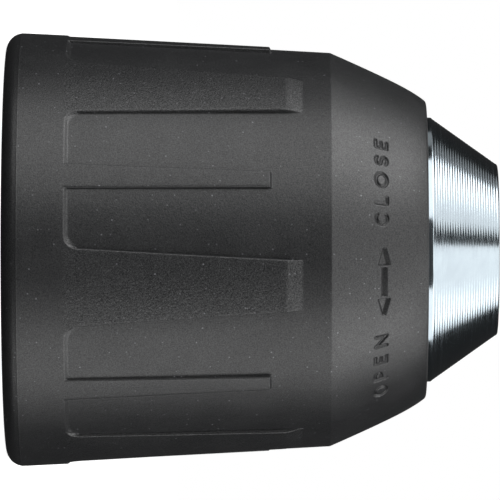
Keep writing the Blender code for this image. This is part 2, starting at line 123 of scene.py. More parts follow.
# Marks cut into the sleeve's front, at angles from the camera's side of the chuck
CAMERA_AZIMUTH = -90.0
MARK_Z = (35.73, 37.25)
MARK_DEPTH = 0.19
STROKE_HALF = 0.22
LETTER_WIDTHS = {"C": 1.52, "E": 1.35, "L": 1.2, "N": 1.52, "O": 1.8, "P": 1.4, "S": 1.4}
OPEN_ANGLES = (-56.2, -28.6)
CLOSE_ANGLES = (7.3, 38.7)
ARROW_Z = 36.76
ARROW_ANGLES = (-21.8, 0.7)
ARROW_DEPTH = 0.3
ARROW_HEAD = 1.75
ARROW_GAP = 0.13
ARROW_HALF_WIDTHS = (0.2, 0.68, 0.31)
ARROW_NOSE_FLANK = 0.48
ARROW_REAR_FLANK = 0.1
MARK_ROWS = 34
MARK_MARGIN_Z = 0.3
MARK_STEP = 0.22
PLAIN_STEP = 1.0

# Turned pieces. The phase keeps the facets' corners off the planes that cut the jaws' bores in half.
BODY_SIDES = 240
BORE_SIDES = 72
COVER_SIDES = 200
FACET_PHASE = 0.31

# Jaws' bores. Their lines meet on the axis at the apex, and their ends are distances past it.
INCLINE = math.radians(19.0)
APEX_Z = 49.0
JAW_ANGLES = (90.0, 210.0, 330.0)
JAW_BORE_R = 3.25
JAW_BORE_ENDS = (-42.0, 2.0)

# Nose. Its tip stands a little past the CAD's, where the photographed cone ends.
NOSE_EXTRA = 0.12
TIP_Z = BODY_HIGH.z + NOSE_EXTRA
TIP_FACE_R = (5.6, 8.14)
TIP_GROOVES = 13
CONE_LOW = (12.87, 41.68)
CONE_HIGH = (8.44, 47.93)
GROOVE_PITCH = 0.253
GROOVE_DEPTH = 0.019
CONE_GROOVE_ROWS = 6
TIP_GROOVE_ROWS = 5

# Rest of the body: bores, the land behind the cone, the core in the nut, the bearing's flange, the tail
SHANK_BORE_R = 5.1
SCREW_HOLE_R = 2.6
SHANK_BORE_Z = 16.4
LAND_R = 12.97
LAND_BACK_Z = 26.6
CORE_R = 9.9
FLANGE_R = 17.3
FLANGE_Z = (12.0, 15.6)
TAIL_R = 9.3
RING_GROOVE_R = 8.75
RING_GROOVE_Z = (1.25, 1.85)

# Spindle socket, with a 3/8-24 thread
SOCKET_R = 4.42
SOCKET_Z = (1.2, 13.6)
SOCKET_PITCH = 1.058
SOCKET_THREAD_DEPTH = 0.5
SOCKET_CHAMFER = 0.6
SOCKET_ROWS = 140

# Cover and bearing
COVER_INNER_R = 9.45
COVER_THICK = 1.25
COVER_RIM = 0.8
COVER_ROLL_R = 0.5
COVER_BREAK = 0.1
BEAD_R = 13.4
BEAD_HALF = 0.9
BEAD_DEPTH = 0.22
BALL_COUNT = 18
BALL_CIRCLE_R = 16.15

# Black nylon: its speckle, and the pale ends of its fibres
NYLON_DARK = (0.006, 0.0062, 0.0067)
NYLON_LIGHT = (0.0145, 0.015, 0.0158)
SPECKLE_SIZE = 0.11
FIBRE_SPACING = 0.47
FIBRE_SPOT = (0.08, 0.22)
FIBRE_CHOICE = (0.8, 1.0)
FIBRE_COLOUR = (0.12, 0.12, 0.13)

# Camera and light, in metres. An azimuth turns round the chuck's axis from the camera's side.
CAMERA_DISTANCE = 0.72
CAMERA_HEIGHT = 0.02385
CAMERA_OFFSET = 0.00004
PICTURE_WIDTH = 0.04912
STUDIO_R = 1.7
FLOOR_DROP = 0.00001
FLOOR_FADE = (0.1, 0.6)
OBJECT_CENTRE = (0.0, 0.0, 0.024)

# Strips: name, azimuth, width and radiance
STRIP_AWAY, STRIP_Z, STRIP_HEIGHT = 0.6, 0.22, 1.1
STRIPS = (("strip_upper", -57.0, 0.67, 2.3), ("strip_lower", 60.5, 0.59, 2.2))

# Panels over the nose: name, x range, y range and radiance
PANEL_Z = 0.32
PANELS = (
    ("panel_lower", (-0.015, 0.30), (-0.30, 0.085), 1.95),
    ("panel_upper", (-0.35, -0.070), (-0.30, 0.09), 1.65),
)

# Wings: name, azimuth, elevation, size and radiance
WING_AWAY = 0.55
WINGS = (
    ("wing_upper", -80.0, 37.0, (0.42, 0.26), 2.9),
    ("wing_lower", 78.0, 38.0, (0.30, 0.24), 1.65),
    ("fade_upper", -114.0, 26.0, (0.22, 0.40), 0.4),
)

# Top lights: name, place, size and radiance
TOP_LIGHTS = (
    ("front_top", (0.0, -0.42, 0.38), (0.30, 0.20), 1.45),
    ("rear_top", (0.0, 0.4, 0.4), (0.2, 0.3), 1.2),
)

# The room's brightness goes from the first to the second value between these directions along Y
ROOM_Y = (-0.9, 0.2)
ROOM_GLOW = (0.08, 0.025)


# ---------------------------------------------------------------- mesh helpers


def polar(radius, degrees, z):
    """The point at a radius, angle and height round the chuck's axis."""
    turn = math.radians(degrees)
    return Vector((radius * math.cos(turn), radius * math.sin(turn), z))


def share(value, low, high):
    """How far a value is from low to high, kept between 0 and 1."""
    return min(max((value - low) / (high - low), 0.0), 1.0)


def smooth(value):
    """Eases a share from 0 to 1 with a level start and end."""
    value = min(max(value, 0.0), 1.0)
    return value * value * (3 - 2 * value)


def steps(start, stop, count):
    """count + 1 evenly spaced values from start to stop."""
    return [start + (stop - start) * i / count for i in range(count + 1)]


def shape(name, bm, finishes, sharp=35.0):
    """An object from a bmesh drawn in millimetres, smooth apart from its edges over `sharp` degrees."""
    bmesh.ops.recalc_face_normals(bm, faces=bm.faces)
    bmesh.ops.scale(bm, vec=(MM, MM, MM), verts=bm.verts)
    mesh = bpy.data.meshes.new(name)
    bm.to_mesh(mesh)
    bm.free()
    mesh.shade_smooth()
    mesh.set_sharp_from_angle(angle=math.radians(sharp))
    for finish in finishes:
        mesh.materials.append(finish)
    made = bpy.data.objects.new(name, mesh)
    bpy.context.scene.collection.objects.link(made)
    return made


def fit(made, body, slot, *nodes):
    """Puts a piece on its body, in place of CAD nodes; its slot is not used."""
    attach(made, body)
    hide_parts(*nodes)
    return made


def skin(bm, loops, closed=True):
    """Quads between neighbouring closed loops of points. closed joins the last loop to the first."""
    rows = [[bm.verts.new(point) for point in loop] for loop in loops]
    pairs = list(zip(rows, rows[1:]))
    if closed:
        pairs.append((rows[-1], rows[0]))
    for here, there in pairs:
        for i in range(len(here)):
            j = (i + 1) % len(here)
            bm.faces.new((here[i], here[j], there[j], there[i]))
    return rows


def turned(profile, sides):
    """A turned ring: a closed (radius, z) outline that stays off the axis."""
    bm = bmesh.new()
    turns = [360 * (i + FACET_PHASE) / sides for i in range(sides)]
    skin(bm, [[polar(r, turn, z) for r, z in profile] for turn in turns])
    return bm


def rod(radius, low, high, sides, matrix):
    """A closed cylinder from low to high along a matrix's Z axis, to be cut out of something."""
    bm = bmesh.new()
    turns = [360 * (i + 2 * FACET_PHASE) / sides for i in range(sides)]
    loops = [[matrix @ polar(radius, turn, z) for turn in turns] for z in (low, high)]
    rows = skin(bm, loops, closed=False)
    bm.faces.new(rows[0])
    bm.faces.new(rows[-1])
    return bm


def carve(target, cutters):
    """Takes the cutters out of the target's mesh and removes them."""
    for cutter in cutters:
        modifier = target.modifiers.new(cutter.name, "BOOLEAN")
        modifier.operation = "DIFFERENCE"
        modifier.solver = "EXACT"
        modifier.object = cutter
    graph = bpy.context.evaluated_depsgraph_get()
    carved = bpy.data.meshes.new_from_object(target.evaluated_get(graph))
    target.modifiers.clear()
    target.data = carved
    for cutter in cutters:
        bpy.data.objects.remove(cutter)


def add_rows(bm, low, high, count):
    """Splits a turned surface between two of its (radius, z) circles and gives the new points."""
    def on(vertex, circle):
        return abs(vertex.co.z - circle[1]) < 1e-3 and abs(vertex.co.xy.length - circle[0]) < 1e-3

    edges = []
    for edge in bm.edges:
        a, b = edge.verts
        if (on(a, low) and on(b, high)) or (on(a, high) and on(b, low)):
            edges.append(edge)
    made = bmesh.ops.subdivide_edges(bm, edges=edges, cuts=count, use_grid_fill=True)
    return [v for v in made["geom_inner"] if isinstance(v, bmesh.types.BMVert)]


# ---------------------------------------------------------------- sleeve


def tapered(at, taper, z):
    """Radius at z of a cone that passes a (z, radius) point."""
    start_z, radius = at
    return radius - taper * (z - start_z)


def floor_radius(z):
    return tapered(FLOOR_AT, FLOOR_TAPER, z)


def raised_radius(z):
    return min(SLEEVE_MAX_R, tapered(RAISED_AT, RAISED_TAPER, z))


def rib_half(z):
    wide, narrow = RIB_HALF_ANGLES
    return wide + (narrow - wide) * share(z, *RIB_TAPER_Z)


def bar_half(z):
    wide, narrow = BAR_HALF_ANGLES
    return wide + (narrow - wide) * share(z, PAD_BACK_Z, BAR_RAMP_Z[0])


def rib_top(z):
    """The top of a rib, which runs down to the pads' floor at its front end."""
    return raised_radius(z) + (floor_radius(z) - raised_radius(z)) * share(z, *RIB_RAMP_Z)


def bar_top(z):
    """The top of a bar, whose front end is a short rounded step."""
    return raised_radius(z) + (floor_radius(z) - raised_radius(z)) * smooth(share(z, *BAR_RAMP_Z))


def rim_radius(z):
    """The rounded back rim, with the mould's parting line standing on it."""
    if z >= REAR_FILLET_R:
        plain = raised_radius(z)
    else:
        round_in = math.sqrt(REAR_FILLET_R ** 2 - (REAR_FILLET_R - z) ** 2)
        plain = SLEEVE_MAX_R - REAR_FILLET_R + round_in
    line = smooth(1 - abs(z - PARTING_Z) / PARTING_HALF_WIDTH)
    return plain + PARTING_HEIGHT * line


def side_drop(inside):
    """How far down a pad's side is: rounded over the edge of a rib or bar, then almost upright."""
    if inside > 0:
        return EDGE_DROP + (1 - EDGE_DROP) * min(inside / SIDE_WALL, 1.0)
    across = max(1 + inside / EDGE_ROUND, 0.0)
    return EDGE_DROP * (1 - math.sqrt(1 - across ** 2))


def back_drop(inside):
    """How far down a pad's sloping back wall is."""
    return smooth(inside / BACK_WALL)


def wall_share(from_rib, from_back, from_bar):
    """How far down a pad's wall a point is, given its distances inside the pad's three edges."""
    corner_x, corner_z = PAD_CORNER_R - from_rib, PAD_CORNER_R - from_back
    if corner_x > 0 and corner_z > 0:
        away = math.hypot(corner_x, corner_z)
        inside = PAD_CORNER_R - away
        facing = (corner_z / away) ** 2
        sunk = (1 - facing) * side_drop(inside) + facing * back_drop(inside)
    else:
        sunk = min(side_drop(from_rib), back_drop(from_back))
    return min(sunk, side_drop(from_bar))


def grip_radius(offset, z):
    """Radius of the sleeve's outside at an angle from a rib's middle, up to the next bar's middle."""
    if z < PAD_BACK_Z:
        return rim_radius(z)
    from_rib = math.radians(offset - rib_half(z)) * PAD_R
    from_bar = math.radians(SECTOR / 2 - bar_half(z) - offset) * PAD_R
    top = rib_top(z) if from_rib < from_bar else bar_top(z)
    return top + (floor_radius(z) - top) * wall_share(from_rib, z - PAD_BACK_Z, from_bar)


def side_steps(reach):
    """Distances across a pad's side, close together on its rounded edge and then out to reach."""
    edge = [-EDGE_ROUND * (1 - math.sin(math.radians(turn))) for turn in SIDE_TURNS]
    start = 0.25
    floor = steps(start, reach, round((reach - start) / SIDE_STEP))
    return [-0.5, -0.3] + edge + [SIDE_WALL, SIDE_WALL + 0.08] + floor


def back_steps(reach):
    """Distances across a pad's back wall and then out to reach."""
    return [0.0] + steps(0.02, BACK_WALL, 7) + steps(BACK_WALL + 0.1, reach, 10)


def grip_columns():
    """Functions of z that give the angles from a rib's middle to the next rib's middle."""
    def degrees(length):
        return math.degrees(length / PAD_R)

    def by_rib(part, length):
        return lambda z: part * rib_half(z) + degrees(length)

    def by_bar(part, length):
        return lambda z: SECTOR / 2 - part * bar_half(z) - degrees(length)

    def between(start, end, part):
        return lambda z: start(z) + part * (end(z) - start(z))

    rib = [by_rib(part, 0.0) for part in (0.0, 0.2, 0.4, 0.6, 0.75)]
    rib += [by_rib(1.0, length) for length in side_steps(PAD_CORNER_R + 0.1)]
    bar = [by_bar(1.0, length) for length in reversed(side_steps(0.5)[1:])]
    bar += [by_bar(part, 0.0) for part in (0.6, 0.3)]
    half = rib + [between(rib[-1], bar[0], part) for part in (0.2, 0.4, 0.6, 0.8)] + bar
    mirrored = [lambda z, column=column: SECTOR - column(z) for column in reversed(half[1:])]
    return half + [by_bar(0.0, 0.0)] + mirrored


def grip_rows():
    """Heights of the grip's rings of points, close together where its outline turns."""
    rim = [REAR_FILLET_R * (1 - math.sin(math.radians(turn))) for turn in RIM_TURNS]
    parting = steps(PARTING_Z - PARTING_HALF_WIDTH, PARTING_Z + PARTING_HALF_WIDTH, 6)
    back = [PAD_BACK_Z + d for d in back_steps(PAD_CORNER_R + 0.1)]
    bar_low, bar_high = BAR_RAMP_Z
    rib_low, rib_high = RIB_RAMP_Z
    bar = [bar_low - 0.06] + steps(bar_low, bar_high, 7) + [bar_high + 0.06, bar_high + 0.3]
    rib = [rib_low - 0.08] + steps(rib_low, rib_high, 7) + [rib_high + 0.08]
    rows = rim + parting + list(RIM_ROWS) + back
    return rows + steps(8.2, 25.0, 12) + bar + [26.8] + rib


def fill_between(bm, low, high):
    """Triangles between two rings of (angle, point) pairs that may differ in number."""
    i = j = 0
    while i < len(low) or j < len(high):
        a, b = low[i % len(low)][1], high[j % len(high)][1]
        next_low, next_high = low[(i + 1) % len(low)], high[(j + 1) % len(high)]
        angle_low = next_low[0] + (360 if i + 1 >= len(low) else 0)
        angle_high = next_high[0] + (360 if j + 1 >= len(high) else 0)
        if j >= len(high) or (i < len(low) and angle_low <= angle_high):
            bm.faces.new((a, next_low[1], b))
            i += 1
        else:
            bm.faces.new((a, next_high[1], b))
            j += 1


def add_band(bm, angles, rows, radius_at):
    """Quads round the axis. Gives its two end rings, as (angle, point) pairs.

    A row is a height or a (radius, z) pair. An angle is a number or a function of the height.
    """
    grid = []
    for row in rows:
        z = row[1] if isinstance(row, tuple) else row
        ring = []
        for angle in angles:
            at = angle(z) if callable(angle) else angle
            ring.append((at, bm.verts.new(polar(*radius_at(at, row)))))
        grid.append(ring)
    for low, high in zip(grid, grid[1:]):
        for i in range(len(low)):
            j = (i + 1) % len(low)
            bm.faces.new((low[i][1], low[j][1], high[j][1], high[i][1]))
    return grid[0], grid[-1]


def add_grip(bm):
    """The sleeve's outside from its back rim to the front end of its ribs."""
    columns = []
    for sector in range(RIB_COUNT):
        for column in grip_columns():
            columns.append(lambda z, s=sector, column=column: SECTOR * s + column(z))

    def radius_at(offset, z):
        folded = offset % SECTOR
        folded = min(folded, SECTOR - folded)
        return grip_radius(folded, z), FIRST_RIB_ANGLE + offset, z

    return add_band(bm, columns, grip_rows(), radius_at)


def front_radius(z):
    """The rounded front, whose slope steepens from 24 to 38 degrees towards the nose."""
    if z < SHOULDER_Z:
        return floor_radius(z)
    t = 1 - (FRONT_END_Z - z) / FRONT_LENGTH
    return FRONT_START_R - FRONT_SLOPE * t - FRONT_CROWN * t ** 2 - FRONT_TURN_IN * t ** 8


# ---------------------------------------------------------------- marks


def arc_points(cx, cy, rx, ry, start, end, count=14):
    """Points along part of an ellipse."""
    turns = [math.radians(a) for a in steps(start, end, count)]
    return [(cx + rx * math.cos(t), cy + ry * math.sin(t)) for t in turns]


def letter(name):
    """The strokes of a letter in a box one wide and one high."""
    stem = [(0.0, 0.0), (0.0, 1.0)]
    if name == "O":
        return [arc_points(0.5, 0.5, 0.5, 0.5, 0, 360, 24)]
    if name == "P":
        bowl = [(0.0, 1.0), (0.45, 1.0)] + arc_points(0.5, 0.74, 0.45, 0.26, 90, -90) + [(0.0, 0.48)]
        return [stem, bowl]
    if name == "E":
        return [stem, [(0.0, 0.0), (0.85, 0.0)], [(0.0, 0.5), (0.75, 0.5)], [(0.0, 1.0), (0.85, 1.0)]]
    if name == "N":
        return [stem, [(0.0, 1.0), (1.0, 0.0)], [(1.0, 0.0), (1.0, 1.0)]]
    if name == "C":
        return [arc_points(0.55, 0.5, 0.55, 0.5, 50, 310, 20)]
    if name == "L":
        return [stem, [(0.0, 0.0), (0.85, 0.0)]]
    top = arc_points(0.48, 0.75, 0.42, 0.25, 30, 270)
    return [top, arc_points(0.48, 0.25, 0.42, 0.25, 90, -150)]


def mark_radius():
    """Radius of the front at the middle of the marks."""
    return front_radius(sum(MARK_Z) / 2)


def word_strokes(word, angles):
    """Strokes of a word as (distance round, height) points, with even gaps between its letters."""
    first, last = (math.radians(angle) * mark_radius() for angle in angles)
    gap = (last - first - sum(LETTER_WIDTHS[name] for name in word)) / (len(word) - 1)
    tall = MARK_Z[1] - MARK_Z[0] - 2 * STROKE_HALF
    strokes = []
    for name in word:
        wide = LETTER_WIDTHS[name] - 2 * STROKE_HALF
        for stroke in letter(name):
            strokes.append([(first + STROKE_HALF + wide * x, STROKE_HALF + tall * y) for x, y in stroke])
        first += LETTER_WIDTHS[name] + gap
    return strokes


def to_segment(px, py, ax, ay, bx, by):
    """Distance of a point from a straight segment."""
    dx, dy = bx - ax, by - ay
    t = share((px - ax) * dx + (py - ay) * dy, 0.0, dx * dx + dy * dy)
    return math.hypot(px - ax - t * dx, py - ay - t * dy)


def mark_lines():
    """The words' strokes as straight segments in millimetres."""
    segments = []
    for points in word_strokes("OPEN", OPEN_ANGLES) + word_strokes("CLOSE", CLOSE_ANGLES):
        segments += [(*a, *b) for a, b in zip(points, points[1:]) if a != b]
    return segments


def arrow_depth(along, z):
    """Depth of the double arrow, whose floor rises slowly towards the nose."""
    low, high = (math.radians(angle) * mark_radius() for angle in ARROW_ANGLES)
    from_end = min(along - low, high - along)
    half_tip, half_head, half_shaft = ARROW_HALF_WIDTHS
    if from_end < ARROW_HEAD + ARROW_GAP / 2:
        half = half_tip + (half_head - half_tip) * share(from_end, 0.0, ARROW_HEAD)
        from_end = min(from_end, ARROW_HEAD - from_end)
    else:
        half = half_shaft
        from_end -= ARROW_HEAD + ARROW_GAP
    nose_side, rear_side = half - (z - ARROW_Z), half + (z - ARROW_Z)
    down = min(nose_side / ARROW_NOSE_FLANK, rear_side / ARROW_REAR_FLANK, from_end / ARROW_REAR_FLANK)
    return ARROW_DEPTH * min(max(down, 0.0), 1.0)


def mark_depth(theta, z, segments):
    """How deep the marks are cut at an angle from the camera's side and a height."""
    up = MARK_Z[1] - z
    along = math.radians(theta) * mark_radius()
    inside = 0.0
    for ax, ay, bx, by in segments:
        if min(ax, bx) - STROKE_HALF < along < max(ax, bx) + STROKE_HALF:
            inside = max(inside, STROKE_HALF - to_segment(along, up, ax, ay, bx, by))
    return MARK_DEPTH * smooth(inside / STROKE_HALF) + arrow_depth(along, z)


def add_front(bm):
    """The rounded front, its marks and the lip, from the grip's front ring inwards."""
    low, high = MARK_Z
    segments = mark_lines()

    def theta_of(offset):
        return (CAMERA_AZIMUTH - FIRST_RIB_ANGLE - offset + 180) % 360 - 180

    def radius_at(offset, row):
        radius, z = row
        if low - 0.1 < z < high + MARK_MARGIN_Z:
            theta = theta_of(offset)
            if OPEN_ANGLES[0] - 2 < theta < CLOSE_ANGLES[1] + 2:
                radius -= mark_depth(theta, z, segments)
        return radius, FIRST_RIB_ANGLE + offset, z

    marks = steps(low - 0.06, high + MARK_MARGIN_Z, MARK_ROWS)
    rows = [(front_radius(z), z) for z in (*SHOULDER_ROWS, *marks, *FRONT_END_ROWS)]
    angles = []
    offset = 0.0
    while offset < 359.9:
        angles.append(offset)
        theta = theta_of(offset)
        near_marks = OPEN_ANGLES[0] - 1.5 < theta < CLOSE_ANGLES[1] + 1.5
        offset += MARK_STEP if near_marks else PLAIN_STEP
    return add_band(bm, angles, [*rows, *LIP_PROFILE], radius_at)


def add_inside(bm):
    """The sleeve's bore, with a slot behind each rib for the collar's lugs, from front to back."""
    slot, wall = SLOT_HALF_ANGLE, SLOT_WALL_ANGLE
    plain = steps(9.0, SECTOR - 9.0, 8)
    offsets = [0.0, slot, slot + wall] + plain + [SECTOR - slot - wall, SECTOR - slot]
    angles = [SECTOR * sector + offset for sector in range(RIB_COUNT) for offset in offsets]

    def radius_at(offset, row):
        radius, z = row
        folded = min(offset % SECTOR, SECTOR - offset % SECTOR)
        if folded < slot + wall / 2 and SLOT_Z[0] < z < SLOT_Z[1]:
            radius = SLEEVE_BORE_R
        return radius, FIRST_RIB_ANGLE + offset, z

    return add_band(bm, angles, INSIDE_PROFILE, radius_at)


def make_sleeve(smooth_nylon, rib_nylon):
    """The whole moulding, as one closed surface with the coarser grain on its ribs."""
    bm = bmesh.new()
    grip_back, grip_front = add_grip(bm)
    grained = {face for face in bm.faces if on_rib(face)}
    front_back, front_lip = add_front(bm)
    inside_front, inside_back = add_inside(bm)
    fill_between(bm, grip_front, front_back)
    fill_between(bm, front_lip, inside_front)
    fill_between(bm, inside_back, grip_back)
    for face in grained:
        face.material_index = 1
    made = shape("sleeve_moulding", bm, (smooth_nylon, rib_nylon), sharp=50.0)
    return fit(made, "sleeve", "black_plastic", "grip_sleeve")


def on_rib(face):
    """Whether a face of the grip lies on top of a rib, where the mould's grain is coarser."""
    middle = face.calc_center_median()
    if not PAD_BACK_Z < middle.z < RIB_RAMP_Z[1]:
        return False
    offset = (math.degrees(math.atan2(middle.y, middle.x)) - FIRST_RIB_ANGLE) % SECTOR
    return min(offset, SECTOR - offset) < rib_half(middle.z)


# ---------------------------------------------------------------- body


def body_profile():
    """(radius, z) outline of the steel body, from the socket's mouth up the bore and down the outside."""
    tail_z = BODY_LOW.z
    socket_low, socket_high = SOCKET_Z
    face_inner, face_outer = TIP_FACE_R
    flange_low, flange_high = FLANGE_Z
    groove_low, groove_high = RING_GROOVE_Z
    bore = [
        (SOCKET_R + SOCKET_CHAMFER, tail_z), (SOCKET_R, socket_low), (SOCKET_R, socket_high),
        (SCREW_HOLE_R, socket_high), (SCREW_HOLE_R, SHANK_BORE_Z), (SHANK_BORE_R, SHANK_BORE_Z),
        (SHANK_BORE_R, TIP_Z - 0.5), (5.14, TIP_Z - 0.4), (5.5, TIP_Z - 0.04), (face_inner, TIP_Z),
    ]
    nose = [
        (face_outer, TIP_Z), (8.27, TIP_Z - 0.02), (8.37, TIP_Z - 0.08), CONE_HIGH, CONE_LOW,
        (12.94, 41.6), (LAND_R, 41.5), (LAND_R, 26.9), (12.67, LAND_BACK_Z),
    ]
    core = [
        (CORE_R, LAND_BACK_Z), (CORE_R, flange_high), (17.0, flange_high), (FLANGE_R, 15.3),
        (FLANGE_R, 12.3), (17.0, flange_low),
    ]
    tail = [
        (TAIL_R, flange_low), (TAIL_R, groove_high), (RING_GROOVE_R, groove_high),
        (RING_GROOVE_R, groove_low), (TAIL_R, groove_low), (TAIL_R, tail_z + 0.35),
        (9.24, tail_z + 0.18), (9.12, tail_z + 0.06), (8.95, tail_z),
    ]
    return bore + nose + core + tail


def scallop(phase):
    """The hollow that a turning tool leaves, from 0 on its ridges to 1 in its middle."""
    return 1 - (2 * (phase % 1) - 1) ** 2


def jaw_line(degrees):
    """Local Z runs forward along a jaw's line to the apex, and local X points outward."""
    tilt = Matrix.Translation((0.0, 0.0, APEX_Z)) @ Matrix.Rotation(-INCLINE, 4, "Y")
    return Matrix.Rotation(math.radians(degrees), 4, "Z") @ tilt


def turn_cone(bm):
    """Tool grooves up the nose's cone."""
    slope = Vector((CONE_HIGH[0] - CONE_LOW[0], CONE_HIGH[1] - CONE_LOW[1]))
    grooves = round(slope.y / GROOVE_PITCH)
    outward = Vector((slope.y, -slope.x)).normalized()
    for vertex in add_rows(bm, CONE_LOW, CONE_HIGH, grooves * CONE_GROOVE_ROWS - 1):
        phase = grooves * share(vertex.co.z, CONE_LOW[1], CONE_HIGH[1])
        depth = GROOVE_DEPTH * scallop(phase)
        radial = vertex.co.xy.normalized()
        vertex.co.xy -= radial * outward.x * depth
        vertex.co.z -= outward.y * depth


def turn_face(bm):
    """Finer tool grooves across the flat at the tip."""
    inner, outer = TIP_FACE_R
    for vertex in add_rows(bm, (inner, TIP_Z), (outer, TIP_Z), TIP_GROOVES * TIP_GROOVE_ROWS - 1):
        phase = TIP_GROOVES * share(vertex.co.xy.length, inner, outer)
        vertex.co.z -= 0.5 * GROOVE_DEPTH * scallop(phase)


def thread_socket(bm):
    """The spindle socket's thread, cut outward from its bore."""
    low, high = SOCKET_Z
    for vertex in add_rows(bm, (SOCKET_R, low), (SOCKET_R, high), SOCKET_ROWS):
        turn = math.atan2(vertex.co.y, vertex.co.x) / (2 * math.pi)
        phase = (vertex.co.z / SOCKET_PITCH - turn) % 1
        groove = share(1 - abs(2 * phase - 1), 0.15, 0.95)
        fade = share(vertex.co.z, low, low + 0.4) * share(high - vertex.co.z, 0.0, 2.0)
        vertex.co.xy += vertex.co.xy.normalized() * SOCKET_THREAD_DEPTH * groove * fade


def make_body(steel):
    """The turned body with its jaws' bores cut out, and then its tool grooves and thread."""
    body = shape("body_turning", turned(body_profile(), BODY_SIDES), [steel])
    bores = []
    for number, degrees in enumerate(JAW_ANGLES, 1):
        bore = rod(JAW_BORE_R, *JAW_BORE_ENDS, BORE_SIDES, jaw_line(degrees))
        bores.append(shape(f"bore_{number}", bore, []))
    carve(body, bores)
    bm = bmesh.new()
    bm.from_mesh(body.data)
    bmesh.ops.scale(bm, vec=(1 / MM,) * 3, verts=bm.verts)
    turn_cone(bm)
    turn_face(bm)
    thread_socket(bm)
    bpy.data.objects.remove(body)
    return fit(shape("body_turning", bm, [steel]), "body", "bright_steel", "chuck_body")


# ---------------------------------------------------------------- smaller pieces


def make_cover(zinc):
    """The pressed plate behind the thrust bearing, with rolled edges and a shallow bead."""
    low, high = COVER_LOW.z, COVER_HIGH.z
    outer, inner = COVER_HIGH.y, COVER_INNER_R
    profile = [
        (inner + 0.12, low), (inner, low + 0.12), (inner, low + 1.13), (inner + 0.12, low + COVER_THICK),
        (outer - 0.95, low + COVER_THICK), (outer - COVER_RIM, low + 1.4),
        (outer - COVER_RIM, high - COVER_BREAK), (outer - 0.7, high), (outer - COVER_BREAK, high),
        (outer, high - COVER_BREAK),
    ]
    profile += arc_points(outer - COVER_ROLL_R, low + COVER_ROLL_R, COVER_ROLL_R, -COVER_ROLL_R, 0, 90, 6)
    profile += arc_points(BEAD_R, low, BEAD_HALF, BEAD_DEPTH, 0, 180, 12)
    made = shape("cover_pressing", turned(profile, COVER_SIDES), [zinc], sharp=50.0)
    return fit(made, "body", "plated_steel", "rear_cover")


def make_balls(steel):
    """The bearing's balls, each a fine round one around the CAD's coarse one."""
    for number in range(1, BALL_COUNT + 1):
        node = f"ball_{number:02d}"
        low, high = (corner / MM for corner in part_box(node))
        bm = bmesh.new()
        radius = (high.z - low.z) / 2
        centre = polar(BALL_CIRCLE_R, 360 / BALL_COUNT * (number - 1), (low.z + high.z) / 2)
        bmesh.ops.create_icosphere(bm, subdivisions=4, radius=radius, matrix=Matrix.Translation(centre))
        fit(shape(f"bearing_{node}", bm, [steel]), "cage", "bearing_steel", node)


def refine(node, name, body, slot, finish):
    """A piece on a CAD node's surface, with its points joined, flat areas merged and curves smooth."""
    bm = bmesh.new()
    bm.from_mesh(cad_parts[node].data)
    bmesh.ops.scale(bm, vec=(1 / MM,) * 3, verts=bm.verts)
    bmesh.ops.remove_doubles(bm, verts=bm.verts, dist=1e-4)
    bmesh.ops.dissolve_limit(bm, angle_limit=math.radians(0.4), verts=bm.verts, edges=bm.edges)
    for face in bm.faces:
        face.material_index = 0
    return fit(shape(name, bm, [finish], sharp=28.0), body, slot, node)


# ---------------------------------------------------------------- materials


